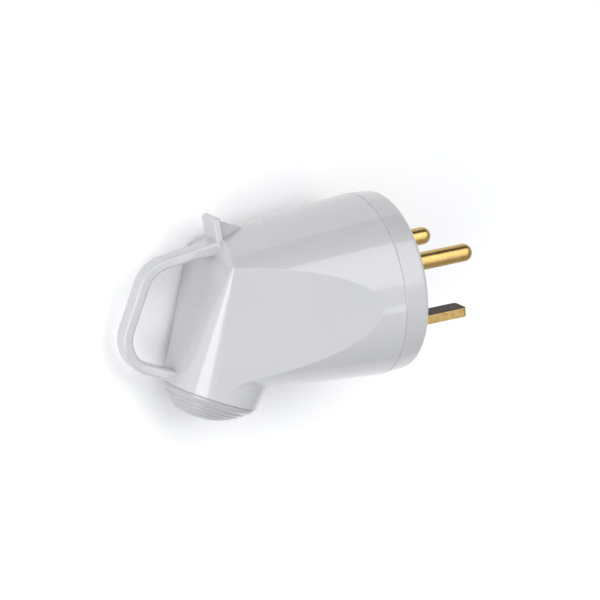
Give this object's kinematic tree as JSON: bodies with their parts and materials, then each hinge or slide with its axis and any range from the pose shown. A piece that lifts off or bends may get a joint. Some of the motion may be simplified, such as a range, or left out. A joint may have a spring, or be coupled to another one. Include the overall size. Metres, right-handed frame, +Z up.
{
  "type": "industrial plug",
  "caption": "Round pin plug with two round line pins, a flat earth pin, a loop handle and finger guard for pulling, and an oblique cable neck closed by a ringed soft cap.",
  "frame": {"origin": "a point on the flat side that the plug lies on, 40 mm behind the front face", "axes": "+Z up from the flat side that it lies on, +X forward along that side, under the pins, +Y towards the finger guard; the pins' axis rises 15.5 degrees from +X"},
  "size_m": [0.1225, 0.0685, 0.0621],
  "materials": {
    "shell_plastic": "glossy light grey moulded plastic, smooth with faint flow marks",
    "carrier_plastic": "glossy light grey moulded plastic, the same tone as the shell",
    "inner_plastic": "matt grey moulded insulation",
    "cap_rubber": "satin grey soft moulding",
    "pin_brass": "polished brass with fine turning marks",
    "screw_steel": "zinc plated steel"
  },
  "bodies": {
    "root": {"shell": "shell_plastic", "pin_carrier": "carrier_plastic", "pin_plate": "inner_plastic", "cable_clamp": "inner_plastic", "cable_cap": "cap_rubber", "sealing_ring": "cap_rubber", "line_pin_left": "pin_brass", "line_pin_right": "pin_brass", "earth_pin": "pin_brass", "threaded_insert_left": "pin_brass", "threaded_insert_right": "pin_brass", "terminal_screw_left": "screw_steel", "terminal_screw_right": "screw_steel", "terminal_screw_earth": "screw_steel", "plate_screw_left": "screw_steel", "plate_screw_right": "screw_steel", "cover_screw_left": "screw_steel", "cover_screw_right": "screw_steel", "clamp_screw_left": "screw_steel", "clamp_screw_right": "screw_steel"}
  },
  "joints": []
}
